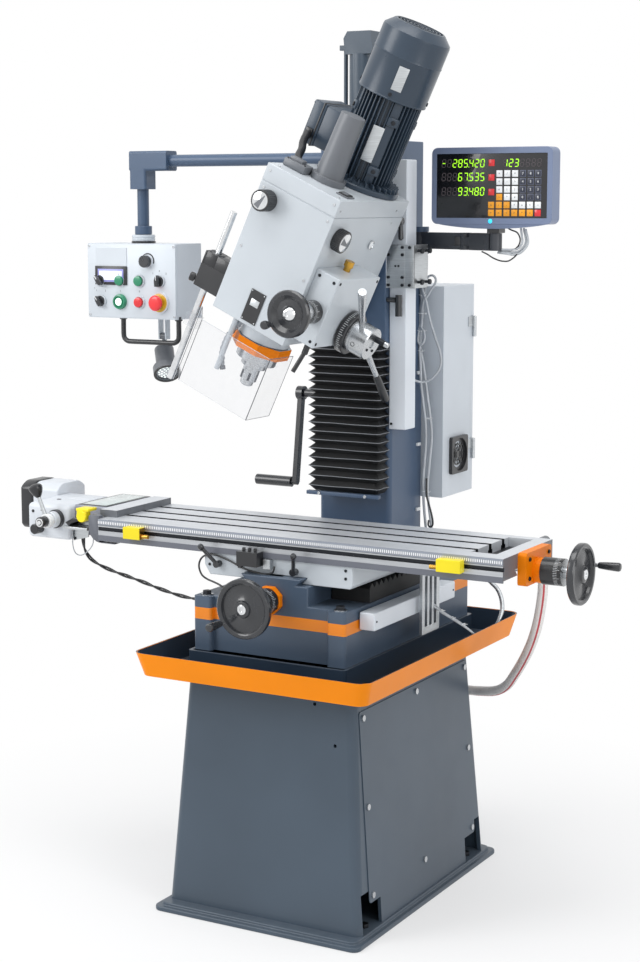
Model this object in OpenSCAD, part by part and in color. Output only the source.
// Column milling and drilling machine on a sheet-steel stand.
// The table slides along X on a saddle, the saddle slides along Y on the
// machine base, and the head rides up and down the column and tilts on it.
// The origin is the centre of the base plate's underside.

/* [Base plate and stand] */
// Width of the base plate
base_w = 540; // [525:5:640]
// Depth of the base plate
base_d = 750; // [700:5:850]
// Thickness of the base plate
base_t = 19; // [14:1:30]
// Corner radius of the base plate
base_corner = 20; // [5:1:40]
// How far the raised step lies inside the plate's edge
base_inset = 12; // [4:1:16]
// Height of the stand
stand_h = 541; // [480:1:620]
// Width of the stand at its foot
stand_foot_w = 505; // [480:1:515]
// Depth of the stand at its foot
stand_foot_d = 669; // [640:1:700]
// Width of the stand at its top
stand_top_w = 434; // [420:1:470]
// Depth of the stand at its top
stand_top_d = 592; // [560:1:640]
// Wall of the stand
stand_wall = 8; // [4:0.5:12]
// Width and height of the four anchor notches
notch = 90; // [60:1:110]
// Diameter of the anchor bolts
anchor_d = 14; // [10:1:18]
// Width of the side cover
cover_w = 560; // [500:5:575]
// Height of the side cover
cover_h = 436; // [400:2:450]
// Thickness of the side cover
cover_t = 2; // [1:0.5:4]

/* [Chip tray] */
// Width of the tray at its floor
tray_w = 576; // [540:2:620]
// Depth of the tray at its floor
tray_d = 794; // [760:2:820]
// Height of the tray and of the plinth in it
tray_h = 55; // [40:1:80]
// How far each wall leans out
tray_flare = 15; // [5:1:30]
// Sheet thickness of the tray
tray_wall = 2.5; // [1.5:0.5:4]
// How far the tray sits to the back
tray_shift = 13; // [0:1:30]
// Width of the plinth under the machine
plinth_w = 410; // [400:2:440]
// Depth of the plinth
plinth_d = 668; // [650:2:690]
// Wall of the plinth
plinth_wall = 8; // [5:1:12]

/* [Machine base] */
// Width of the machine base
mb_w = 394; // [380:2:400]
// Front of the machine base's corner pads
mb_front = -300; // [-310:1:-295]
// Back of the machine base
mb_back = 345; // [340:1:350]
// Height of the machine base
mb_h = 125; // [110:1:140]
// Wall of the machine base
mb_wall = 20; // [12:1:25]
// Width of a corner pad
pad_w = 47; // [40:1:55]
// How far the pads stand out in front
pad_out = 15; // [10:1:15]
// Half width of the raised ways
way_hw = 95; // [88:1:100]
// Height of the raised ways
way_h = 45; // [42:1:60]

/* [Slides and screws] */
// Running gap of the slides
run_gap = 0.3; // [0.2:0.05:0.4]
// Height of each dovetail
dove_h = 15; // [12:1:16]
// Half width of the lower dovetail at its neck
dove_y_hw = 65; // [55:1:70]
// Half width of the table's dovetail at its neck
dove_x_hw = 60; // [50:1:62]
// Half width of the column's dovetail at its neck
dove_z_hw = 60; // [50:1:65]
// Radius of the two lead screws
screw_r = 8; // [6:0.5:8]
// Radius of the lifting screw
lift_r = 10; // [8:0.5:12]
// Height of the cross screw above the machine base's top
y_screw_h = 8; // [6:1:12]
// Where the long screw lies, front to back
x_screw_y = -128; // [-132:1:-124]

/* [Saddle and table] */
// Left end of the saddle
saddle_x0 = -190; // [-200:1:-180]
// Length of the saddle
saddle_w = 385; // [375:1:388]
// Front of the saddle
saddle_y0 = -262; // [-264:1:-258]
// Depth of the saddle
saddle_d = 262; // [255:1:265]
// Height of the saddle
saddle_h = 55; // [48:1:60]
// Left end of the table's machined top
table_x0 = -485; // [-495:1:-475]
// Length of the table's machined top
table_l = 1040; // [1030:2:1060]
// Depth of the table
table_d = 272; // [268:1:280]
// Thickness of the table
table_h = 48; // [44:1:55]
// Spacing of the tee slots
tee_pitch = 70; // [60:1:74]
// Width of a tee slot at the top
tee_w = 14; // [12:1:16]
// Width of a tee slot at the bottom
tee_foot_w = 23; // [22:1:26]
// Depth of a tee slot
tee_h = 21; // [18:1:22]
// Radius of the table and cross handwheels
wheel_r = 67.5; // [60:0.5:68]

/* [Column] */
// Width of the column
col_w = 193; // [185:1:193]
// Depth of the column
col_d = 174; // [160:1:180]
// Height of the column
col_h = 1030; // [1020:5:1050]
// Front of the column
col_front = 109; // [108:0.5:112]
// Corner radius of the column
col_corner = 12; // [5:1:16]
// Where the lower end of the bellows is fixed
bellows_z0 = 943; // [930:1:960]
// Number of folds in the bellows
folds = 17; // [12:1:24]
// Width of the electrical cabinet
cab_w = 290; // [260:2:310]
// Depth of the electrical cabinet, door left out
cab_d = 160; // [140:2:180]
// Height of the electrical cabinet
cab_h = 517; // [480:1:540]
// Underside of the cabinet
cab_z0 = 909; // [890:1:930]

/* [Head] */
// Height of the head's tilting axis
pivot_z = 1514; // [1500:1:1520]
// Tilt of the head as stored
head_tilt = 25; // [20:1:30]
// Half width of the head
head_hw = 100; // [96:1:102]
// Half height of the head
head_hh = 174; // [170:1:180]
// Front of the head
head_front = -260; // [-264:1:-256]
// Back of the head
head_back = 66; // [64:0.5:67]
// Where the spindle's axis lies, front to back
spindle_y = -160; // [-164:1:-156]
// Radius of the quill
quill_r = 37.5; // [34:0.5:40]
// Radius of the spindle's shaft
spindle_r = 17; // [14:0.5:20]
// Radius of the collet bore
collet_r = 8; // [6:0.5:10]
// Depth of the collet bore
collet_l = 40; // [30:1:44]
// Where the motor's axis lies, front to back
motor_y = -20; // [-22:1:-18]
// Radius of the motor's body
motor_r = 70; // [64:1:72]
// Width of the feed box on the head's side
feed_box_w = 62; // [56:1:66]
// Length of the two feed levers
lever_l = 190; // [170:1:195]

/* [Control panel and display] */
// Width of the control box
box_w = 274; // [270:2:280]
// Height of the control box
box_h = 190; // [184:1:200]
// Depth of the control box
box_d = 120; // [110:1:130]
// Left side of the control box
box_x0 = -800; // [-806:1:-796]
// Drop from the arm's middle to the top of the control box
box_drop = 208; // [200:1:216]
// Front of the control box
box_front = 140; // [136:1:146]
// Drop from the column's top to the middle of the control box's arm
arm_drop = 39; // [36:1:44]
// Drop from the column's top to the foot of the display's arms
dro_drop = 252; // [240:1:270]
// Radius of the arm's tube
arm_r = 15; // [12:0.5:17]
// Radius of a push button
button_r = 13; // [10:0.5:15]
// Travel of a push button
button_travel = 4; // [3:0.5:4]
// Width of the position display
dro_w = 296; // [280:2:300]
// Height of the position display
dro_h = 172; // [160:2:180]
// Depth of the position display
dro_d = 45; // [40:1:50]
// Radius of the hose
hose_r = 12.5; // [10:0.5:14]

/* [Hidden] */
$fn = 48;

// Colours
paint = "#4c5866";
orange = "#f7931e";
light = "#d8dce1";
steel = "#b4b7ba";
dark = "#26282b";
black = "#17181a";
yellow = "#f2c014";
brass = "#b98a3a";
slate = "#6c7a93";

// Bearing clearances: a fixed seat, and a turning pin in its hole
seat = 0.05;
pin_gap = 0.3;

// Levels
tray_z = base_t + stand_h;
plinth_top = tray_z + tray_h;
pad_z = plinth_top + mb_h;
saddle_z = pad_z + way_h;
saddle_top = saddle_z + saddle_h;
table_z = saddle_top + run_gap;
table_top = table_z + table_h;
y_screw_z = pad_z + y_screw_h;
x_screw_z = saddle_top + 4;
mb_face = mb_front + pad_out;
way_back = col_front - 14;
table_y0 = saddle_y0 - 5;
table_x1 = table_x0 + table_l;
saddle_x1 = saddle_x0 + saddle_w;
col_back = col_front + col_d;
col_y = col_front + col_d / 2;
col_hw = col_w / 2;
col_top = pad_z + col_h;
arm_z = col_top - arm_drop;
box_top = arm_z - box_drop;
wheel_y = mb_front - 100;
wheel_x = table_x1 + 120;
tee_y = x_screw_y + 8;
bore_gap = screw_r + pin_gap;

// Stand: half width and half depth of its outside at a height z
stand_lean_x = (stand_foot_w - stand_top_w) / 2 / stand_h;
stand_lean_y = (stand_foot_d - stand_top_d) / 2 / stand_h;
function stand_hw(z) = stand_foot_w / 2 - stand_lean_x * (z - base_t);
function stand_hd(z) = stand_foot_d / 2 - stand_lean_y * (z - base_t);
stand_corner = 20;
notch_y = stand_foot_d / 2 - 20 - notch / 2;
anchor_x = stand_foot_w / 2 - stand_wall - anchor_d;
cover_z = base_t + stand_h / 2 + 8;
cover_margin = 16;

// Outline of a rectangle with round corners
function rr(w, d, r, n = 5) = [
  for (c = [0:3]) for (i = [0:n])
    let (a = 90 * c + 90 * i / n,
         sx = (c == 0 || c == 3) ? 1 : -1,
         sy = (c < 2) ? 1 : -1)
    [sx * (w / 2 - r) + r * cos(a), sy * (d / 2 - r) + r * sin(a)]];

// Block with round upright edges, centred on x and y, standing on z = 0
module rbox(w, d, h, r) linear_extrude(h) polygon(rr(w, d, r));

// Block given by its low and high corner
module block(a, b) translate(a) cube(b - a);

// Outline in x and z, drawn out along Y
module along_y(pts, y0, y1)
  translate([0, y1, 0]) rotate([90, 0, 0]) linear_extrude(y1 - y0) polygon(pts);

// Outline in y and z, drawn out along X
module along_x(pts, x0, x1)
  translate([x0, 0, 0]) rotate([90, 0, 90]) linear_extrude(x1 - x0) polygon(pts);

// Cylinders along X and Y, from one end to the other
module cyl_x(x0, x1, y, z, r) translate([x0, y, z]) rotate([0, 90, 0]) cylinder(h = x1 - x0, r = r);
module cyl_y(y0, y1, x, z, r) translate([x, y1, z]) rotate([90, 0, 0]) cylinder(h = y1 - y0, r = r);
module cyl_z(z0, z1, x, y, r) translate([x, y, z0]) cylinder(h = z1 - z0, r = r);

// Round bar between two points
module rod(a, b, r) {
  v = b - a;
  translate(a) rotate([0, acos(v.z / norm(v)), atan2(v.y, v.x)]) cylinder(h = norm(v), r = r);
}

// Dished handwheel about z, its face towards +z, with a turned grip
module handwheel(r, bore, grip_a, grip_l = 55) {
  rotate_extrude() polygon([[bore, -16], [18, -16], [18, -3], [r - 12, -3],
    [r - 12, -8], [r, -8], [r, 8], [r - 12, 8], [r - 14, 3], [18, 3], [18, 10],
    [bore, 10]]);
  rotate([0, 0, grip_a]) translate([r - 6, 0, 8]) {
    cylinder(h = 8, r = 5);
    translate([0, 0, 8]) cylinder(h = grip_l - 8, r1 = 7, r2 = 10);
    translate([0, 0, grip_l]) cylinder(h = 4, r1 = 10, r2 = 6);
  }
}

// Tube swept along points, one ring of corners at each point
function unit(v) = v / norm(v);
function dir_at(p, i) = unit(p[min(i + 1, len(p) - 1)] - p[max(i - 1, 0)]);
module tube(p, r, n = 8) {
  side = [for (i = [0:len(p) - 1])
    unit(cross(dir_at(p, i), abs(dir_at(p, i).x) < 0.9 ? [1, 0, 0] : [0, 1, 0]))];
  pts = [for (i = [0:len(p) - 1]) for (k = [0:n - 1])
    p[i] + r * (cos(360 * k / n) * side[i] + sin(360 * k / n) * cross(dir_at(p, i), side[i]))];
  last = len(p) - 1;
  faces = concat(
    [[for (k = [0:n - 1]) k]],
    [[for (k = [n - 1:-1:0]) last * n + k]],
    [for (i = [0:last - 1]) for (k = [0:n - 1])
      [i * n + (k + 1) % n, i * n + k, (i + 1) * n + k]],
    [for (i = [0:last - 1]) for (k = [0:n - 1])
      [i * n + (k + 1) % n, (i + 1) * n + k, (i + 1) * n + (k + 1) % n]]);
  polyhedron(pts, faces);
}

// Base plate, stand and tray

module base_plate() color(paint) difference() {
  union() {
    rbox(base_w, base_d, base_t * 0.6, base_corner);
    rbox(base_w - 2 * base_inset, base_d - 2 * base_inset, base_t, base_corner);
  }
  for (sx = [-1, 1]) for (sy = [-1, 1])
    translate([sx * anchor_x, sy * notch_y, -1]) cylinder(h = base_t + 2, r = anchor_d / 2 + 1);
}

module stand_form(inset, z0, z1) hull() {
  translate([0, 0, z0]) linear_extrude(0.01)
    polygon(rr(2 * stand_hw(z0) - 2 * inset, 2 * stand_hd(z0) - 2 * inset, stand_corner));
  translate([0, 0, z1 - 0.01]) linear_extrude(0.01)
    polygon(rr(2 * stand_hw(z1) - 2 * inset, 2 * stand_hd(z1) - 2 * inset, stand_corner));
}

hose_in_z = 420;
hose_in_x = 66;

module stand() color(paint) difference() {
  stand_form(0, base_t, tray_z);
  stand_form(stand_wall, base_t - 1, tray_z - stand_wall);
  for (sx = [-1, 1]) for (sy = [-1, 1])
    translate([sx * stand_foot_w / 2 - 30, sy * notch_y - notch / 2, base_t - 1])
      cube([60, notch, notch + 1]);
  cyl_y(stand_hd(hose_in_z) - 20, stand_hd(hose_in_z) + 10, hose_in_x, hose_in_z, hose_r + 4.5);
  for (p = [[175, 439], [120, 526]]) cyl_y(-stand_hd(p[1]) - 5, -stand_hd(p[1]) + 15, p[0], p[1], 4);
}

// Local frame on the stand's right wall: x out, y along, z up the wall
module on_right_wall(z) translate([stand_hw(z), 0, z]) rotate([0, -atan(stand_lean_x), 0]) children();

module stand_cover() color(paint) on_right_wall(cover_z)
  translate([seat, 0, 0]) rotate([90, 0, 90]) translate([0, -cover_h / 2, 0]) difference() {
    translate([0, cover_h / 2, 0]) rbox(cover_w, cover_h, cover_t, 8);
    translate([0, cover_h / 2, 0]) for (p = cover_screws) translate([p[0], p[1], -1])
      cylinder(h = cover_t + 2, r = 4);
  }

cover_screws = [for (sy = [-1, 0, 1]) for (sz = [-1, 0, 1]) if (sy != 0 || sz != 0)
  [sy * (cover_w / 2 - cover_margin), sz * (cover_h / 2 - cover_margin)]];

module tray_form(inset, z0, z1) hull() {
  translate([0, tray_shift, z0]) linear_extrude(0.01)
    polygon(rr(tray_w - 2 * inset, tray_d - 2 * inset, 24));
  translate([0, tray_shift, z1 - 0.01]) linear_extrude(0.01)
    polygon(rr(tray_w + 2 * tray_flare - 2 * inset, tray_d + 2 * tray_flare - 2 * inset, 28));
}

plinth_y = (mb_front + mb_back) / 2 - 3.5;

module chip_tray() color(orange) union() {
  difference() {
    tray_form(0, tray_z, plinth_top);
    tray_form(tray_wall, tray_z + tray_wall, plinth_top + 0.01);
  }
  translate([0, plinth_y, tray_z + tray_wall - 0.01]) difference() {
    rbox(plinth_w, plinth_d, tray_h - tray_wall + 0.01, 10);
    translate([0, 0, -1]) rbox(plinth_w - 2 * plinth_wall, plinth_d - 2 * plinth_wall, tray_h + 5, 6);
  }
}

// Machine base

screw_slot = 20;
way_top = saddle_z - run_gap;

module machine_base() color(paint) difference() {
  union() {
    translate([0, (mb_face + mb_back) / 2, plinth_top]) rbox(mb_w, mb_back - mb_face, mb_h, 10);
    for (sx = [-1, 1]) translate([sx * (mb_w - pad_w) / 2, (mb_front + mb_face) / 2 + 25, plinth_top])
      rbox(pad_w, mb_face - mb_front + 50, mb_h, 8);
    block([-way_hw, mb_face, pad_z - 1], [way_hw, way_back, way_top]);
    along_y([[-dove_y_hw, way_top - 0.5], [dove_y_hw, way_top - 0.5], [dove_y_hw, way_top],
      [dove_y_hw + dove_h, way_top + dove_h], [-dove_y_hw - dove_h, way_top + dove_h],
      [-dove_y_hw, way_top]], mb_face, way_back);
  }
  block([-mb_w / 2 + mb_wall, mb_face + mb_wall, plinth_top - 1],
    [mb_w / 2 - mb_wall, mb_back - mb_wall, pad_z - mb_wall - 5]);
  block([-screw_slot, mb_face + 15, y_screw_z - 20], [screw_slot, way_back - 20, way_top + dove_h + 1]);
  cyl_y(mb_face - 1, mb_face + 16, 0, y_screw_z, bore_gap);
}

module hex_bolt(r, h, shank, shank_l) {
  cylinder(h = h, r = r, $fn = 6);
  translate([0, 0, -shank_l]) cylinder(h = shank_l, r = shank);
}

module fasteners() color(steel) {
  for (p = cover_screws) on_right_wall(cover_z) translate([cover_t + 2 * seat, p[0], p[1]])
    rotate([0, 90, 0]) {
      cylinder(h = 3.5, r = 7);
      translate([0, 0, -cover_t - 2 * seat + 0.1]) cylinder(h = cover_t, r = 3.7);
    }
  for (sx = [-1, 1]) translate([sx * (mb_w - pad_w) / 2, mb_front + 22, pad_z + seat]) hex_bolt(11, 10, 1, 0);
  for (sx = [-1, 1]) for (sy = [-1, 1]) {
    translate([sx * anchor_x, sy * notch_y, base_t + seat])
      hex_bolt(anchor_d * 0.8, 9, anchor_d / 2, base_t - 3);
    translate([sx * (col_hw + 14), col_y + sy * (col_d / 2 - 20), pad_z + foot_h + seat])
      hex_bolt(9, 9, 1, 0);
  }
  difference() {
    union() {
      cyl_y(stand_hd(hose_in_z) - 12, stand_hd(hose_in_z) + 12, hose_in_x, hose_in_z, hose_r + 4);
      cyl_y(stand_hd(hose_in_z) + 2.5, stand_hd(hose_in_z) + 8, hose_in_x, hose_in_z, hose_r + 9);
    }
    cyl_y(stand_hd(hose_in_z) - 13, stand_hd(hose_in_z) + 13, hose_in_x, hose_in_z, hose_r - 2);
  }
}

module y_bearing() color(orange) difference() {
  rotate([90, 0, 0]) translate([0, y_screw_z, -mb_face + seat]) rotate([0, 0, 22.5])
    cylinder(h = mb_face - mb_front, r = (way_h + 17) / 2 / cos(22.5), $fn = 8);
  cyl_y(mb_front - 2, mb_face + 1, 0, y_screw_z, bore_gap);
}

scale_z = pad_z - 28;
module scale_housings() color(steel) {
  block([mb_w / 2 + 3.5, -240, scale_z - 20], [mb_w / 2 + 41.5, 175, scale_z + 20]);
  for (y = [-220, 135]) block([mb_w / 2 + seat, y, scale_z - 12], [mb_w / 2 + 3.5, y + 30, scale_z + 12]);
  difference() {
    block([col_hw + seat, col_front - 9, 1097], [col_hw + 44, col_front + 43, 1725]);
    for (z = [1110, 1712]) cyl_y(col_front - 10, col_front - 6, col_hw + 8, z, 3);
  }
}

// Column and what stands on it

foot_h = 25;
arm_pin_x = -col_hw - 23.5;
arm_pin_y = 200;
dro_z0 = col_top - dro_drop;
dro_z1 = dro_z0 + 40;
j0 = [col_hw + 23.5, 215];
j1 = [col_hw + 164.5, 165];
j2 = [col_hw + 261.5, 118];
crank_z = 1160;
crank_y = 200;
slot_hw = lift_r + 8;
slot_back = col_front + 37;
lift_y = col_front + 19;

// Pair of lugs with a pin between them, at a point on the column's side
module lugs(x, y, z0, z1, t, out, pin_r) {
  for (z = [z0 - t, z1]) {
    cyl_z(z, z + t, x, y, 20);
    block([min(x, out), y - 20, z], [max(x, out), y + 20, z + t]);
  }
  cyl_z(z0 - t, z1 + t, x, y, pin_r);
}

module column() color(paint) difference() {
  union() {
    translate([0, col_y, pad_z]) rbox(col_w, col_d, col_h, col_corner);
    translate([0, col_y + 10, pad_z]) rbox(col_w + 56, col_d + 48, foot_h, 14);
    translate([0, 0, bellows_z0 - 3]) linear_extrude(col_top - 25 - bellows_z0) polygon([
      [-dove_z_hw, col_front + 1], [-dove_z_hw, col_front], [-dove_z_hw - dove_h, col_front - dove_h],
      [dove_z_hw + dove_h, col_front - dove_h], [dove_z_hw, col_front], [dove_z_hw, col_front + 1]]);
    lugs(arm_pin_x, arm_pin_y, arm_z - 17, arm_z + 17, 16, -col_hw + 1, 8);
    lugs(j0[0], j0[1], dro_z0, dro_z1, 12, col_hw - 1, 8);
    cyl_x(-col_hw - 48, -col_hw + 1, crank_y, crank_z, 26);
  }
  block([-col_hw + 18, slot_back + 9, pad_z + 20], [col_hw - 18, col_back - 18, col_top - 18]);
  block([-slot_hw, col_front - dove_h - 1, bellows_z0 + 7], [slot_hw, slot_back, col_top - 18]);
  cyl_z(col_top - 20, col_top + 1, 0, lift_y, lift_r + 2);
  cyl_x(-col_hw - 49, -col_hw + 19, crank_y, crank_z, 10 + pin_gap);
}

module lift_drive() color(paint) {
  union() {
    block([-60, col_front + 3, col_top], [60, col_back - 13, col_top + 15]);
    cyl_z(bellows_z0 + 7, col_top + 1, 0, lift_y, lift_r);
    translate([-24, col_y, col_top + 15]) rbox(80, 90, 70, 8);
    cyl_z(col_top + 85, col_top + 204, -24, col_y, 34);
    along_y([[-58, col_top + 203], [10, col_top + 203], [16, col_top + 215], [10, col_top + 256],
      [-52, col_top + 256], [-62, col_top + 240]], col_y - 32, col_y + 32);
    cyl_z(col_top + 14, col_top + 222, -72, col_y, 5);
    block([-84, col_y - 10, col_top + 214], [-60, col_y + 10, col_top + 226]);
    block([-76, col_y - 8, col_top + 10], [-58, col_y + 8, col_top + 18]);
  }
}

cab_front = col_back + 12;
cab_back = cab_front + cab_d;
cab_hw = cab_w / 2;
door_t = 14.5;
hinge_x = cab_hw + 5;
hinge_y = cab_back + 8;
fan_y = cab_front + 83;
fan_z = cab_z0 + 99;

module cabinet() color(light) {
  difference() {
    block([-cab_hw, cab_front, cab_z0], [cab_hw, cab_back, cab_z0 + cab_h]);
    block([-cab_hw + 2, cab_front + 2, cab_z0 + 2], [cab_hw - 2, cab_back + 1, cab_z0 + cab_h - 2]);
    for (z = [-32, -2]) for (y = [-36:12:36])
      block([cab_hw - 3, fan_y + y, fan_z + z + 6], [cab_hw + 1, fan_y + y + 6, fan_z + z + 31]);
  }
  for (z = [cab_z0 + 40, cab_z0 + cab_h - 70])
    block([-60, col_back + seat, z], [60, cab_front - seat, z + 30]);
  block([-110, cab_front + 2 + seat, cab_z0 + 40], [110, cab_front + 40, cab_z0 + cab_h - 60]);
  translate([cab_hw + seat, fan_y, fan_z]) rotate([0, 90, 0]) difference() {
    rbox(92, 92, 9, 6);
    translate([0, 0, 3]) cylinder(h = 10, r = 41);
    for (r = [12:9:38]) translate([0, 0, -1]) difference() {
      cylinder(h = 8, r = r + 3);
      translate([0, 0, -1]) cylinder(h = 10, r = r - 3);
      for (a = [-45, 45]) rotate([0, 0, a]) translate([-2, -50, -1]) cube([4, 100, 10]);
    }
  }
  for (z = hinge_zs) {
    difference() {
      union() {
        cyl_z(z + 25.3, z + 50, hinge_x, hinge_y, 5);
        block([cab_hw + seat, cab_back - 20, z + 25.3], [cab_hw + 3, hinge_y, z + 50]);
      }
      cyl_z(z, z + 60, hinge_x, hinge_y, 3 + pin_gap / 3);
    }
    cyl_z(z - 1, z + 51, hinge_x, hinge_y, 3);
  }
}
hinge_zs = [cab_z0 + 80, cab_z0 + cab_h - 130];

module cabinet_door() color(light) {
  difference() {
    union() {
      block([-cab_hw, cab_back + run_gap, cab_z0], [cab_hw, cab_back + door_t, cab_z0 + cab_h]);
      for (z = hinge_zs) {
        cyl_z(z, z + 25, hinge_x, hinge_y, 5);
        block([cab_hw - 1, hinge_y - 2, z], [hinge_x, hinge_y + 2, z + 25]);
      }
    }
    block([-cab_hw + 2, cab_back, cab_z0 + 2], [cab_hw - 2, cab_back + door_t - 2, cab_z0 + cab_h - 2]);
    for (z = hinge_zs) cyl_z(z - 1, z + 26, hinge_x, hinge_y, 3 + pin_gap / 3);
    for (z = hinge_zs) block([cab_hw - 1.5, cab_back - 1, z + 25], [cab_hw + 4, hinge_y + 0.5, z + 52]);
  }
  translate([-cab_hw + 30, cab_back + door_t + seat, cab_z0 + cab_h / 2]) rotate([-90, 0, 0])
    cylinder(h = 8, r = 12);
}

way_folds = 12;
module way_cover() color(black) {
  y0 = -180;
  y1 = way_back - 3;
  step = (y1 - y0) / way_folds;
  top = saddle_z - 0.5;
  along_x(concat([[y0, pad_z], [y0, top - 12]],
    [for (i = [0:way_folds - 1]) each [[y0 + step * (i + 0.5), top], [y0 + step * (i + 1), top - 12]]],
    [[y1, pad_z]]), way_hw + 3, mb_w / 2 - 2);
}

module y_screw() color(steel) {
  cyl_y(wheel_y - 9, way_back - 30, 0, y_screw_z, screw_r);
  cyl_y(mb_front - 26, mb_front - run_gap, 0, y_screw_z, 29);
  cyl_y(wheel_y + 17, mb_front - 25, 0, y_screw_z, 13);
}

module y_handwheel() color(black)
  translate([0, wheel_y, y_screw_z]) rotate([90, 0, 0]) handwheel(wheel_r, screw_r + seat, 215);

crank_tip = [-col_hw - 101, crank_y - 30, crank_z - 220];
module z_crank() color(black) {
  cyl_x(-col_hw - 96, -col_hw + 12, crank_y, crank_z, 10);
  cyl_x(-col_hw - 110, -col_hw - 92, crank_y, crank_z, 17);
  translate([-col_hw - 107, crank_y, crank_z]) rotate([180 - atan(30 / 220), 0, 0])
    translate([0, -9, 0]) cube([12, 18, norm([30, 220])]);
  cyl_x(-col_hw - 216, -col_hw - 95, crank_tip.y, crank_tip.z, 7);
  cyl_x(-col_hw - 212, -col_hw - 112, crank_tip.y, crank_tip.z, 13);
}

// Control arm and box

arm_x = box_x0 + box_w / 2 - 2;
collar_z = box_top + 22;

module control_arm() color(paint) {
  difference() {
    union() {
      cyl_z(arm_z - 17 + run_gap, arm_z + 17 - run_gap, arm_pin_x, arm_pin_y, 19.7);
      cyl_x(arm_x, arm_pin_x - 10, arm_pin_y, arm_z, arm_r);
      translate([arm_x, arm_pin_y, arm_z]) rotate([0, 90, 0]) translate([0, 0, -25]) rbox(50, 50, 113, 6);
      translate([arm_x, arm_pin_y, arm_z - 71]) rbox(50, 50, 71, 6);
      cyl_z(collar_z, arm_z - 60, arm_x, arm_pin_y, arm_r);
      cyl_z(collar_z, collar_z + 22, arm_x, arm_pin_y, 22);
    }
    cyl_z(arm_z - 18, arm_z + 18, arm_pin_x, arm_pin_y, 8 + pin_gap);
  }
  cyl_z(box_top - 18, collar_z, arm_x, arm_pin_y, 10);
}

// Local frame on the box's front: x right and y up from the panel's top left, z outwards
module on_panel(u, v) translate([box_x0 + u, box_front, box_top - v]) rotate([90, 0, 0]) children();

rows = [box_h / 2 - 1, box_h - 42];
cols = [42, 103, box_w - 112, box_w - 50];
handle_x = [box_x0 + 100, box_x0 + box_w - 4];
lamp_x = arm_x + 50;
lamp_y = box_front + 75;
lamp_z = box_top - box_h - 48;

module control_box() color(light) {
  difference() {
    union() {
      translate([box_x0 + box_w / 2, box_front + box_d / 2, box_top - box_h]) rbox(box_w, box_d, box_h, 6);
      for (v = rows) for (u = [cols[1], cols[2]]) on_panel(u, v) cylinder(h = 5, r = button_r + 4);
      on_panel(cols[3], rows[1]) cylinder(h = 5, r = 28);
      on_panel(28, 58) translate([0, 0, 0]) cube([96, 47, 3]);
      translate([arm_x, arm_pin_y, box_top - 1]) cylinder(h = 23 - run_gap, r = 29);
      for (x = [lamp_x - 12, lamp_x + 8])
        block([x, lamp_y - 10, lamp_z - 8], [x + 4, lamp_y + 10, box_top - box_h + 2]);
      cyl_x(lamp_x - 12, lamp_x + 12, lamp_y, lamp_z, 4);
    }
    translate([box_x0 + box_w / 2, box_front + box_d / 2, box_top - box_h + 3])
      rbox(box_w - 6, box_d - 6, box_h - 6, 4);
    for (v = rows) for (u = [cols[1], cols[2]]) on_panel(u, v) {
      cylinder(h = 6, r = button_r + pin_gap);
      translate([0, 0, -8]) cylinder(h = 9, r = 6 + pin_gap);
    }
    on_panel(cols[3], rows[1]) translate([0, 0, -8]) cylinder(h = 20, r = 9 + pin_gap);
    for (p = [[cols[0], rows[0]], [cols[3], rows[0]], [cols[0], rows[1]], [187, 44]])
      on_panel(p[0], p[1]) translate([0, 0, -8]) cylinder(h = 20, r = 4 + pin_gap);
    cyl_z(box_top - 20, box_top + 30, arm_x, arm_pin_y, 10 + pin_gap);
  }
  low = box_top - box_h - 60;
  for (x = handle_x) rod([x, box_front + 15, box_top - box_h - seat], [x, box_front + 15, low], 5.5);
  rod([handle_x[0] - 5.5, box_front + 15, low], [handle_x[1] + 5.5, box_front + 15, low], 5.5);
}

module knob(r, h) {
  translate([0, 0, 0.5]) cylinder(h = h - 0.5, r = r);
  translate([0, 0, -12]) cylinder(h = 13, r = 4);
}
module bar_knob(r, a) {
  knob(r, 9);
  rotate([0, 0, a]) translate([-3.5, -r + 1, 8]) cube([7, 2 * r - 2, 12]);
}
module speed_dial() color(black) on_panel(187, 44) knob(16, 19);
module selector_left_top() color(black) on_panel(cols[0], rows[0]) bar_knob(14, 30);
module selector_left_bottom() color(black) on_panel(cols[0], rows[1]) bar_knob(14, -30);
module selector_right() color(black) on_panel(cols[3], rows[0]) bar_knob(14, 0);

module push_button(u, v) on_panel(u, v) {
  translate([0, 0, button_travel + 0.3]) cylinder(h = 8, r = button_r);
  translate([0, 0, -14]) cylinder(h = 15 + button_travel, r = 6);
}
module button_up() color("green") push_button(cols[1], rows[0]);
module button_down() color("green") push_button(cols[2], rows[0]);
module button_start() color("white") push_button(cols[1], rows[1]);
module button_stop() color("red") push_button(cols[2], rows[1]);
module emergency_stop() color("red") on_panel(cols[3], rows[1]) {
  translate([0, 0, 11]) cylinder(h = 10, r1 = 15, r2 = 20);
  translate([0, 0, 21]) cylinder(h = 6, r1 = 20, r2 = 14);
  translate([0, 0, -14]) cylinder(h = 26, r = 9);
}

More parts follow.
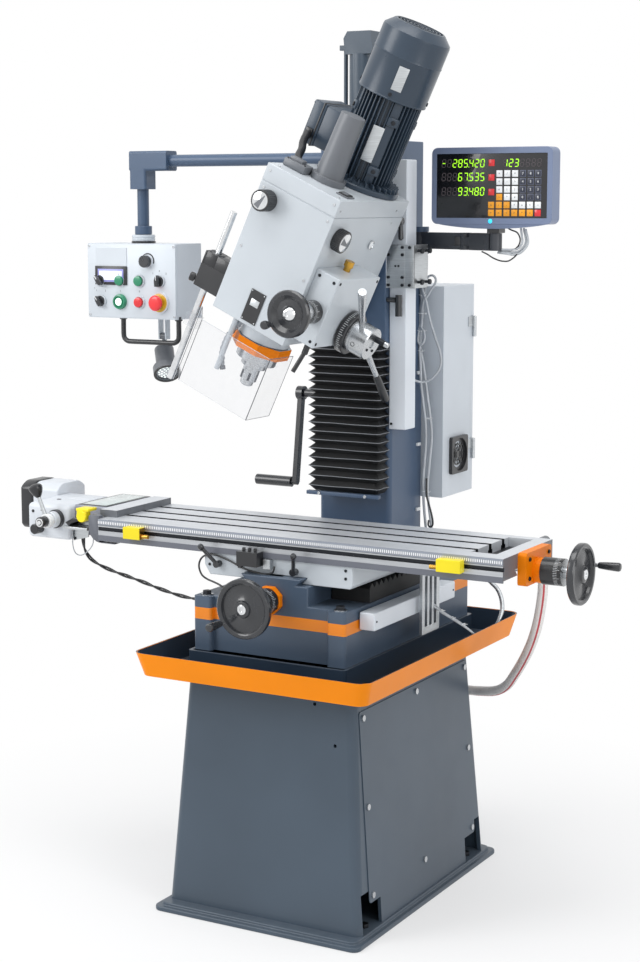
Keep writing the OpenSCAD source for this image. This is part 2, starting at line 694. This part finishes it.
lamp_dir = [0.45, -0.5, -0.74];
module lamp() color(dark) {
  difference() {
    union() {
      cyl_x(lamp_x - 7.7, lamp_x + 7.7, lamp_y, lamp_z, 9);
      rod([lamp_x, lamp_y, lamp_z - 6], [lamp_x, lamp_y, lamp_z - 46], 6);
      rod([lamp_x, lamp_y, lamp_z - 44] - 12 * lamp_dir, [lamp_x, lamp_y, lamp_z - 44] + 50 * lamp_dir, 25);
      rod([lamp_x, lamp_y, lamp_z - 44] + 45 * lamp_dir, [lamp_x, lamp_y, lamp_z - 44] + 68 * lamp_dir, 35);
    }
    cyl_x(lamp_x - 8, lamp_x + 8, lamp_y, lamp_z, 4 + pin_gap);
    rod([lamp_x, lamp_y, lamp_z - 44] + 56 * lamp_dir, [lamp_x, lamp_y, lamp_z - 44] + 70 * lamp_dir, 28);
  }
}

// Position display on its two arms

// Bar between two pins, leaving out a length at each end
module bar(p, q, w, z0, z1, s0, s1) {
  l = norm(q - p);
  u = (q - p) / l;
  v = [-u[1], u[0]] * w / 2;
  a = p + s0 * u;
  b = q - s1 * u;
  translate([0, 0, z0]) linear_extrude(height = z1 - z0) polygon([a - v, b - v, b + v, a + v]);
}

dz0 = dro_z0 + run_gap;
dz1 = dro_z1 - run_gap;
module dro_arm_inner() color(black) difference() {
  union() {
    cyl_z(dz0, dz1, j0[0], j0[1], 17);
    bar(j0, j1, 20, dz0 + 2, dz1 - 2, 9, 26);
    for (z = [dz0, dz1 - 10]) {
      cyl_z(z, z + 10, j1[0], j1[1], 14);
      bar(j0, j1, 23, z + 0.5, z + 9.5, 11, 5);
    }
    cyl_z(dz0 + 1, dz1 - 1, j1[0], j1[1], 6);
  }
  cyl_z(dz0 - 1, dz1 + 1, j0[0], j0[1], 8 + pin_gap);
}

module dro_arm_outer() color(black) difference() {
  union() {
    cyl_z(dz0 + 10 + run_gap, dz1 - 10 - run_gap, j1[0], j1[1], 13);
    bar(j1, j2, 22, dz0 + 10 + run_gap, dz1 - 10 - run_gap, 8, 40);
    bar(j1, j2, 25, dz0, dz1, 26, 11);
    cyl_z(dz0, dz1, j2[0], j2[1], 14);
    cyl_z(dz1 - 5, dz1 + 18, j2[0], j2[1], 10);
  }
  cyl_z(dz0, dz1, j1[0], j1[1], 6 + pin_gap);
}

dro_x0 = j2[0] - 152;
dro_y0 = j2[1] - dro_d / 2;
module dro_display() color(slate) difference() {
  union() {
    translate([dro_x0 + dro_w / 2, dro_y0, dro_z1 + 20]) rotate([-90, 0, 0]) translate([0, -dro_h / 2, 0])
      rbox(dro_w, dro_h, dro_d, 14);
    block([j2[0] - 15, dro_y0 + 5, dro_z1 + run_gap], [j2[0] + 15, dro_y0 + dro_d - 5, dro_z1 + 24]);
  }
  cyl_z(dro_z1 - 1, dz1 + 18 + run_gap, j2[0], j2[1], 10 + pin_gap);
  block([dro_x0 + 12, dro_y0 - 1, dro_z1 + 34], [dro_x0 + dro_w - 12, dro_y0 + 2, dro_z1 + dro_h + 6]);
}

// Saddle

module saddle() color(light) difference() {
  union() {
    along_y([[saddle_x0 + 14, saddle_z], [saddle_x1 - 6, saddle_z], [saddle_x1, saddle_z + 8],
      [saddle_x1, saddle_top], [saddle_x0, saddle_top], [saddle_x0, saddle_z + 22]],
      saddle_y0, saddle_y0 + saddle_d);
    along_x([[x_screw_y - dove_x_hw, saddle_top - 1], [x_screw_y + dove_x_hw, saddle_top - 1],
      [x_screw_y + dove_x_hw, saddle_top], [x_screw_y + dove_x_hw + dove_h, saddle_top + dove_h],
      [x_screw_y - dove_x_hw - dove_h, saddle_top + dove_h], [x_screw_y - dove_x_hw, saddle_top]],
      saddle_x0, saddle_x1);
  }
  along_y([[-dove_y_hw + 0.7 - 1.5 * run_gap, saddle_z - 1], [dove_y_hw - 0.7 + 1.5 * run_gap, saddle_z - 1],
    [dove_y_hw + dove_h + 2.5 * run_gap, saddle_z + dove_h],
    [-dove_y_hw - dove_h - 2.5 * run_gap, saddle_z + dove_h]],
    saddle_y0 - 1, saddle_y0 + saddle_d + 1);
  for (x = [saddle_x0 - 1, 30])
    block([x, x_screw_y - screw_slot, saddle_top - 8],
      [x < 0 ? -30 : saddle_x1 + 1, x_screw_y + screw_slot, saddle_top + 20]);
  cyl_x(-31, 31, x_screw_y, x_screw_z, bore_gap);
  for (x = [saddle_x0 + 40, saddle_x0 + 241]) cyl_y(saddle_y0 - 1, saddle_y0 + 16, x, clamp_z, 5 + pin_gap);
}

// The cross screw's nut hangs from the saddle into the slot between the ways
module cross_nut() color(brass) difference() {
  block([-screw_slot + 0.6, -115, y_screw_z - 14], [screw_slot - 0.6, -75, saddle_z + dove_h - seat]);
  cyl_y(-116, -74, 0, y_screw_z, bore_gap);
}

// Lever from a to b with a turned knob on its end
module lever(a, b, rod_r, r) {
  v = b - a;
  rod(a, b, rod_r);
  translate(b) rotate([0, acos(v.z / norm(v)), atan2(v.y, v.x)]) rotate_extrude()
    polygon([[0, -0.95 * r], [0.8 * r, -0.95 * r], [r, -0.3 * r], [r, 0.3 * r],
      [0.7 * r, 0.9 * r], [0, 0.9 * r]]);
}

clamp_z = saddle_z + 27;
module clamp_lever(x, lean) {
  cyl_y(saddle_y0 - 16, saddle_y0 - run_gap, x, clamp_z, 8);
  cyl_y(saddle_y0 - 8, saddle_y0 + 14, x, clamp_z, 5);
  lever([x, saddle_y0 - 11, clamp_z], [x + lean, saddle_y0 - 38, clamp_z + 42], 4.5, 7);
}
module clamp_lever_left() color(black) clamp_lever(saddle_x0 + 40, -26);
module clamp_lever_right() color(black) clamp_lever(saddle_x0 + 241, 16);

switch_x = saddle_x0 + 106;
module saddle_fittings() color(dark) {
  union() {
    block([switch_x, saddle_y0 - 34, saddle_z + 34], [switch_x + 54, saddle_y0 - 6.5, saddle_z + 67]);
    block([switch_x, saddle_y0 - 8, saddle_z + 34], [switch_x + 54, saddle_y0 - seat, saddle_z + 49]);
    for (i = [0:2]) cyl_z(saddle_z + 66, saddle_z + 74, switch_x + 12 + 15 * i, saddle_y0 - 20, 4);
  }
  block([switch_x + 58, saddle_y0 - 14, saddle_z + 28], [switch_x + 76, saddle_y0 - seat, saddle_z + 50]);
  difference() {
    union() {
      block([saddle_x1 + seat, -35, saddle_z + 9], [saddle_x1 + 60, 55, saddle_z + 16]);
      block([saddle_x1 + 52, -35, pad_z - 97], [saddle_x1 + 60, 55, saddle_z + 16]);
    }
    for (y = [-22, 2, 26]) block([saddle_x1 + 50, y, pad_z - 80], [saddle_x1 + 62, y + 14, saddle_z - 6]);
  }
}

// Table

module tee_slot(y) {
  block([table_x0 - 30, y - tee_w / 2, table_top - tee_h], [pocket_x0 + 1, y + tee_w / 2, table_top + 1]);
  block([table_x0 - 30, y - tee_foot_w / 2, table_top - tee_h],
    [pocket_x0 + 1, y + tee_foot_w / 2, table_top - tee_h + 9]);
}
pocket_x0 = table_x1 - 95;
table_y1 = table_y0 + table_d;
dog_z = table_top - 23;

module table() color(steel) {
  difference() {
    union() {
      block([table_x0, table_y0, table_z], [table_x1, table_y1, table_top]);
      block([table_x0, table_y0, table_z - 4.3], [table_x1, saddle_y0 - 0.5, table_z + 1]);
      block([table_x0 - 20, -230, table_z + 5], [table_x0 + 1, 0, table_top - 8]);
    }
    along_x([[x_screw_y - dove_x_hw + 0.7 - 1.5 * run_gap, table_z - 1],
      [x_screw_y + dove_x_hw - 0.7 + 1.5 * run_gap, table_z - 1],
      [x_screw_y + dove_x_hw + dove_h + 2.5 * run_gap, table_z + dove_h],
      [x_screw_y - dove_x_hw - dove_h - 2.5 * run_gap, table_z + dove_h]], table_x0 - 30, table_x1 + 1);
    for (i = [-1, 0, 1]) tee_slot(tee_y + i * tee_pitch);
    block([table_x0 - 1, table_y0 - 1, table_top - 1], [table_x0 + 29.5, table_y1 + 1, table_top + 1]);
    block([pocket_x0, -220, table_top - tee_h], [pocket_x0 + 60, -20, table_top + 1]);
    block([table_x0 - 1, table_y0 - 1, dog_z - 5], [table_x1 + 1, table_y0 + 6, dog_z + 4]);
  }
  block([table_x0 - 19.9, -230, table_top - 1 + seat], [table_x0 + 29, 0, table_top + 16]);
  translate([0, 0, table_top - 26]) {
    rod([pocket_x0 + 35, table_y1 + seat, 0], [pocket_x0 + 35, hose_y + 12, 0], 12);
    cyl_z(saddle_top - table_top + 26, 2, pocket_x0 + 35, hose_y, 14.5);
  }
}

module stop_dogs() {
  for (d = [[table_x0 + 86, table_x0 + 133, 1], [table_x1 - 146, table_x1 - 89, -1]]) {
    color(yellow) {
      block([d[0], table_y0 - 22, dog_z - 14], [d[1], table_y0 - seat, dog_z + 14]);
      block([d[0] + 5, table_y0 - 1, dog_z - 4.5], [d[1] - 5, table_y0 + 5.5, dog_z + 3.5]);
    }
    color(brass) {
      x = d[2] > 0 ? d[1] + seat : d[0] - seat;
      cyl_x(min(x, x + d[2] * 18), max(x, x + d[2] * 18), table_y0 - 12, dog_z - 6, 5);
    }
  }
}

module x_bearing() color(orange) difference() {
  union() {
    translate([table_x1 + seat, tee_y, x_screw_z + 9]) rotate([0, 90, 0]) rbox(72, 140, 20, 8);
    cyl_x(table_x1 + 10, table_x1 + 36, x_screw_y, x_screw_z, 28);
  }
  cyl_x(table_x1 - 1, table_x1 + 40, x_screw_y, x_screw_z, bore_gap);
}

feed_x1 = table_x0 - 119;
module x_screw() color(steel) {
  cyl_x(feed_x1 - 18, wheel_x + 9, x_screw_y, x_screw_z, screw_r);
  cyl_x(table_x1 + 36 + run_gap, table_x1 + 84, x_screw_y, x_screw_z, 30);
  cyl_x(table_x1 + 83, wheel_x - 17, x_screw_y, x_screw_z, 13);
}

module x_handwheel() color(black)
  translate([wheel_x, x_screw_y, x_screw_z]) rotate([0, 90, 0]) handwheel(wheel_r, screw_r + seat, 100);

feed_lever_x = feed_x1 - 37;
feed_lever_z = table_top - 19;
module feed_unit() {
  color(dark) difference() {
    union() {
      translate([feed_x1 - 63.5, -135, x_screw_z - 27]) rbox(127, 170, 85, 10);
      block([feed_x1 - 241, -100, x_screw_z - 31], [feed_x1 - 126, 15, x_screw_z + 54]);
      cyl_x(feed_x1 - 241, feed_x1 - 126, -42.5, x_screw_z + 32, 57.5);
      cyl_y(-250, -219, feed_lever_x, feed_lever_z, 20);
      cyl_y(-245, -219, feed_x1 - 88, x_screw_z - 2, 13);
      cyl_z(x_screw_z - 32, x_screw_z - 26, feed_x1 - 26, -130, 9);
    }
    cyl_x(feed_x1 - 22, feed_x1 + 1, x_screw_y, x_screw_z, bore_gap);
    cyl_y(-251, -230, feed_lever_x, feed_lever_z, 6 + pin_gap);
  }
  color(steel) difference() {
    block([feed_x1 + seat, -200, x_screw_z - 14], [table_x0 - 20 - seat, 0, table_top + 16]);
    block([feed_x1 + 12, -190, x_screw_z - 4], [table_x0 - 32, -10, table_top + 12]);
    block([feed_x1 + 12, -201, x_screw_z - 4], [table_x0 - 32, 1, table_top + 2]);
    cyl_x(feed_x1 - 1, table_x0, x_screw_y, x_screw_z, bore_gap + 1);
  }
  color(steel) block([feed_x1 + seat, -252, table_top - 38], [feed_x1 + 73, -205, table_top - 30]);
  color(yellow) block([feed_x1 + 60, -262, table_top - 29.9], [feed_x1 + 74, -222, table_top + 18]);
}

module feed_lever() color(black) {
  cyl_y(-268, -250 - run_gap, feed_lever_x, feed_lever_z, 17);
  cyl_y(-290, -267, feed_lever_x, feed_lever_z, 12);
  cyl_y(-252, -231, feed_lever_x, feed_lever_z, 6);
  lever([feed_lever_x - 3, -259, feed_lever_z + 8], [feed_lever_x - 26, -264, feed_lever_z + 72], 4.5, 12);
}

// Carriage and bellows

carr_z0 = pivot_z - 219;
carr_z1 = pivot_z + 126;
carr_front = head_back + 14;
carr_hw = col_hw - 0.5;
module carriage() color(paint) {
  difference() {
    union() {
      block([-carr_hw, carr_front, carr_z0], [carr_hw, col_front - run_gap, carr_z1]);
      cyl_y(head_back + run_gap, carr_front + 1, 0, pivot_z, 95);
      cyl_y(head_back - 46, carr_front + 1, 0, pivot_z, 25);
      block([carr_hw - 2, carr_front + 4, pivot_z - 84], [145, col_front - 9.5, pivot_z + 16]);
    }
    translate([0, 0, carr_z0 - 1]) linear_extrude(carr_z1 - carr_z0 + 2) polygon([
      [-dove_z_hw + 0.7 - 1.5 * run_gap, col_front + 1], [dove_z_hw - 0.7 + 1.5 * run_gap, col_front + 1],
      [dove_z_hw + dove_h + 2.5 * run_gap, col_front - dove_h - run_gap],
      [-dove_z_hw - dove_h - 2.5 * run_gap, col_front - dove_h - run_gap]]);
  }
  difference() {
    block([-slot_hw + 0.6, col_front - dove_h - run_gap + seat, pivot_z - 74],
      [slot_hw - 0.6, slot_back - 1, pivot_z - 14]);
    cyl_z(pivot_z - 75, pivot_z - 13, 0, lift_y, lift_r + pin_gap);
  }
  cyl_x(carr_hw + seat, 118, carr_front + 10, pivot_z - 112, 6);
  cyl_z(pivot_z - 150, pivot_z - 100, 126, carr_front + 10, 8);
}

fold_in = 12;
bellows_z1 = carr_z0 - seat;
module z_bellows() color(black) {
  n = folds;
  p = (bellows_z1 - bellows_z0) / n;
  front = carr_front - 30;
  difference() {
    intersection() {
      along_x(concat([[col_front - 3, bellows_z0], [front + fold_in, bellows_z0]],
        [for (i = [0:n - 1])
          each [[front, bellows_z0 + p * (i + 0.5)], [front + fold_in, bellows_z0 + p * (i + 1)]]],
        [[col_front - 3, bellows_z1]]), -carr_hw, carr_hw);
      along_y(concat([[-carr_hw + fold_in, bellows_z0]],
        [[carr_hw - fold_in, bellows_z0]],
        [for (i = [0:n - 1])
          each [[carr_hw, bellows_z0 + p * (i + 0.5)], [carr_hw - fold_in, bellows_z0 + p * (i + 1)]]],
        [for (i = [n - 1:-1:0])
          each [[-carr_hw + fold_in, bellows_z0 + p * (i + 1)], [-carr_hw, bellows_z0 + p * (i + 0.5)]]]),
        front - 1, col_front);
    }
    block([-dove_z_hw - dove_h - 1, front + fold_in + 6, bellows_z0 - 1],
      [dove_z_hw + dove_h + 1, col_front, bellows_z1 + 1]);
  }
}

// Head, drawn upright and then tilted about its axis

module in_head() translate([0, 0, pivot_z]) rotate([0, head_tilt, 0]) children();

nose_z = -head_hh - 38;
module head_body() color(light) in_head() difference() {
  union() {
    block([-head_hw, head_front, -head_hh], [head_hw, head_back, head_hh]);
    cyl_z(nose_z, -head_hh + 1, 0, spindle_y, 60);
  }
  difference() {
    block([-head_hw + 14, head_front + 14, -head_hh + 16], [head_hw - 14, head_back - 50, head_hh - 14]);
    cyl_z(-head_hh, 40, 0, spindle_y, quill_r + 14);
  }
  cyl_z(nose_z - 1, 41, 0, spindle_y, quill_r + pin_gap);
  cyl_y(head_back - 47, head_back + 1, 0, 0, 25 + pin_gap);
  cyl_y(head_front - 1, head_front + 15, -65, 99, 6 + pin_gap);
  cyl_x(head_hw - 15, head_hw + 1, -211, 85, 6 + pin_gap);
  block([-head_hw - 1, head_front - 1, head_hh - 41], [head_hw + 1, head_front + 1.5, head_hh - 39]);
  for (x = [-head_hw - 1, head_hw - 1.5])
    block([x, head_front - 1, head_hh - 41], [x + 2.5, head_back + 1, head_hh - 39]);
}

box_face = head_hw + feed_box_w;
cap_y = -120;
cap_z = -112;
fine_x = head_hw + 30;
fine_z = -75;
module feed_box() color(light) in_head() difference() {
  block([head_hw + seat, -245, -150], [box_face, -55, 16]);
  cyl_x(head_hw + 20, box_face + 1, cap_y, cap_z, 12 + pin_gap);
  cyl_y(-246, -205, fine_x, fine_z, 8 + pin_gap);
}

module motor() color(dark) in_head() {
  difference() {
    union() {
      translate([0, motor_y, 0]) {
        cyl_z(head_hh + seat, head_hh + 16, 0, 0, motor_r + 28);
        cyl_z(head_hh + 15, head_hh + 222, 0, 0, motor_r - 8);
        for (i = [0:27]) rotate([0, 0, 360 / 28 * i])
          block([motor_r - 12, -1.6, head_hh + 24], [motor_r + 3, 1.6, head_hh + 214]);
        cyl_z(head_hh + 212, head_hh + 356, 0, 0, motor_r + 9);
        translate([0, 0, head_hh + 356]) cylinder(h = 18, r1 = motor_r + 9, r2 = motor_r - 12);
      }
    }
    translate([0, motor_y, head_hh + 235]) cylinder(h = 124, r = motor_r + 6);
    translate([0, motor_y, head_hh + 200]) cylinder(h = 60, r = 8 + pin_gap);
    for (r = [14, 30, 46]) translate([0, motor_y, head_hh + 350]) difference() {
      cylinder(h = 30, r = r + 5);
      translate([0, 0, -1]) cylinder(h = 32, r = r - 5);
      for (a = [0, 45, 90, 135]) rotate([0, 0, a]) translate([-3, -70, -1]) cube([6, 140, 40]);
    }
  }
  block([-155, -60, head_hh + 31], [-motor_r + 4 - 6, 60, head_hh + 136]);
}

module motor_rotor() color(dark) in_head() translate([0, motor_y, 0]) {
  cyl_z(head_hh + 202, head_hh + 290, 0, 0, 8);
  cyl_z(head_hh + 240, head_hh + 290, 0, 0, 20);
  for (i = [0:7]) rotate([0, 0, 45 * i]) block([15, -2, head_hh + 245], [motor_r - 4, 2, head_hh + 285]);
}

rod_x = -head_hw - 68;
rod_y = -200;
module head_fittings() in_head() {
  color(dark) {
    cyl_z(head_hh + 0.1, head_hh + 14, 0, spindle_y, 40);
    translate([0, spindle_y, head_hh + 14]) cylinder(h = 143, r1 = 32, r2 = 28);
  }
  color(brass) {
    cyl_z(16 + seat, 26, head_hw + 22, -150, 8);
    cyl_z(26, 40, head_hw + 22, -150, 11);
  }
  color(steel) cyl_x(head_hw + seat, head_hw + 4, -42, 68, 10);
  color(light) cyl_z(nose_z - 98, -head_hh - seat, -50, -226, 6);
  color(black) difference() {
    block([rod_x - 20, rod_y - 22, -165], [-head_hw - seat, rod_y + 24, -110]);
    cyl_z(-166, -109, rod_x, rod_y, 8 + pin_gap);
  }
  color(black) {
    cyl_z(-178, -150 - seat, head_hw + 35, -215, 7);
    rod([head_hw + 35, -215, -172], [head_hw + 35, -235, -222], 5);
  }
  color(black) block([-22, head_front - 2, -166], [18, head_front - seat, -92]);
  color(black) block([62, -212, head_hh + seat], [86, -188, head_hh + 6]);
}

module quill() in_head() {
  difference() {
    union() {
      color(steel) cyl_z(nose_z - 53, 20, 0, spindle_y, quill_r);
      color(orange) translate([0, spindle_y, nose_z - 28]) rotate([0, 0, 22.5])
        cylinder(h = 27.5, r = 64 / cos(22.5), $fn = 8);
      color(steel) cyl_z(nose_z - 53, nose_z - 27, 0, spindle_y, 48);
    }
    cyl_z(nose_z - 54, 21, 0, spindle_y, spindle_r + pin_gap);
  }
}

module spindle() color(steel) in_head() difference() {
  union() {
    cyl_z(nose_z - 54, 120, 0, spindle_y, spindle_r);
    cyl_z(nose_z - 70, nose_z - 53 - run_gap, 0, spindle_y, 30);
    cyl_z(nose_z - 118, nose_z - 69, 0, spindle_y, 20);
  }
  cyl_z(nose_z - 119, nose_z - 118 + collet_l, 0, spindle_y, collet_r);
}

hub = [box_face + 45, cap_y, cap_z];
module capstan() in_head() {
  color(black) cyl_x(box_face + 3, box_face + 23, cap_y, cap_z, 50);
  color(steel) {
    difference() {
      cyl_x(box_face + 23 + seat, box_face + 73, cap_y, cap_z, 38);
      for (a = [15, 75, 195, 255]) rotate_at(a) translate([0, 26, 0]) cyl_x(20, 40, 0, 0, 5);
    }
    cyl_x(head_hw + 22, box_face + 3.5, cap_y, cap_z, 12);
  }
  for (l = [[136, 20], [-46, 55]]) {
    tip = [l[1], lever_l * cos(l[0]), lever_l * sin(l[0])];
    color(steel) rod(hub + 36 / lever_l * tip, hub + tip, 7);
    color(black) rod(hub + 0.62 * tip, hub + tip * 1.02, 10);
  }
  color(black) cyl_x(box_face + 73 + seat, box_face + 105, cap_y + 14, cap_z + 12, 7);
}
module rotate_at(a) translate(hub) rotate([a, 0, 0]) children();

module fine_feed_wheel() color(black) in_head() {
  cyl_y(-366, -207, fine_x, fine_z, 8);
  cyl_y(-300, -245 - run_gap, fine_x, fine_z, 26);
  translate([fine_x, -350, fine_z]) rotate([90, 0, 0]) handwheel(51.5, 8 + seat, 235, 30);
}

module gear_knob() color(dark) in_head() {
  cyl_y(head_front - 38, head_front - run_gap, -65, 99, 24);
  cyl_y(head_front - 1, head_front + 12, -65, 99, 6);
}

module range_knob() color(dark) in_head() {
  cyl_x(head_hw + run_gap, head_hw + 24, -211, 85, 26);
  cyl_x(head_hw - 12, head_hw + 1, -211, 85, 6);
}

guard_top = -206;
guard_bottom = -358;
guard_y = head_front - 27;
module guard() color("#cfd8dc") in_head() {
  translate([0, 0, guard_bottom]) linear_extrude(height = guard_top - guard_bottom)
    polygon([[-97, guard_y], [98, guard_y], [98, guard_y + 101], [95, guard_y + 101], [95, guard_y + 3],
      [-95.6, guard_y + 3], [-151, -206], [-153, -208.6]]);
  difference() {
    block([rod_x - 14, rod_y - 14, -262], [-148, rod_y + 12, -232]);
    cyl_z(-263, -231, rod_x, rod_y, 8 + seat);
  }
}
module guard_rod() color(steel) in_head() {
  cyl_z(-398, 23, rod_x, rod_y, 8);
  cyl_z(-110 + run_gap, -98, rod_x, rod_y, 14);
}

// Hose and cables, along points chosen by hand

hose_y = 100;
hose_path = [[pocket_x0 + 35, hose_y, saddle_top - 0.1], [pocket_x0 + 35, hose_y, saddle_top - 30],
  [pocket_x0 + 34, hose_y + 2, saddle_top - 90], [485, 111, 700], [467, 133, 650], [437, 172, 598],
  [398, 222, 546], [352, 282, 494], [304, 345, 446], [252, 396, 413], [196, 425, 398], [140, 425, 396],
  [96, 401, 403], [73, 363, 414], [hose_in_x, 336, hose_in_z],
  [hose_in_x, stand_hd(hose_in_z) + 12 + seat, hose_in_z]];
module coolant_hose() color("#d9d5cf") tube(hose_path, hose_r);

cable_a = [[feed_x1 - 26, -130, x_screw_z - 32.1], [feed_x1 - 25.8, -130, 798], [-626.3, -130, 780.5],
  [-615.5, -130, 764.5], [-600, -131, 753.5], [-570, -132, 742], [-532, -132, 732], [-493, -132, 724],
  [-453, -132, 715.5], [-418, -132, 707], [-381, -132, 699], [-343, -132, 692.5], [-306, -132, 689.5],
  [-270, -134, 690], [-238, -137, 694], [-mb_w / 2 - 15, -140, 698.7], [-mb_w / 2 - seat, -140, 700]];
module feed_cables() color(black) tube(cable_a, 5);

cable_b = [[105, 262, 1500], [106, 262, 1440], [108, 260, 1380], [109, 256, 1320], [108, 252, 1260],
  [109, 250, 1200], [112, 250, 1140], [115, 252, 1080], [113, 256, 1020], [110, 260, 960], [108, 264, 900],
  [110, 268, 850], [114, 272, 810]];
cable_c = [[116, 270, 1500], [118, 272, 1450], [126, 280, 1400], [134, 286, 1360], [136, 287, 1320],
  [130, 286, 1285], [122, 282, 1262], [118, 276, 1230], [119, 272, 1180], [123, 270, 1100], [121, 272, 1000],
  [118, 276, 920], [121, 282, 850], [128, 286, 810]];
module column_cables() {
  color("#b9bdc2") tube(cable_b, 4, 6);
  color("#b9bdc2") tube(cable_c, 4, 6);
  for (z = [1215, 1040, 880]) color("#b9bdc2") block([col_hw + seat, 245, z], [col_hw + 8, 262, z + 8]);
  color("#b9bdc2") block([col_hw + seat, 266, 1176], [col_hw + 18, 278, 1184]);
}

base_plate();
stand();
stand_cover();
chip_tray();
machine_base();
fasteners();
y_bearing();
scale_housings();
column();
lift_drive();
cabinet();
column_cables();
way_cover();
cabinet_door();
y_screw();
y_handwheel();
z_crank();
control_arm();
control_box();
speed_dial();
selector_left_top();
selector_left_bottom();
selector_right();
button_up();
button_down();
button_start();
button_stop();
emergency_stop();
lamp();
dro_arm_inner();
dro_arm_outer();
dro_display();
union() { saddle(); cross_nut(); }
clamp_lever_left();
clamp_lever_right();
saddle_fittings();
table();
stop_dogs();
x_bearing();
x_screw();
x_handwheel();
feed_unit();
feed_lever();
carriage();
z_bellows();
head_body();
feed_box();
motor();
motor_rotor();
head_fittings();
quill();
spindle();
capstan();
fine_feed_wheel();
gear_knob();
range_knob();
guard();
guard_rod();
coolant_hose();
feed_cables();
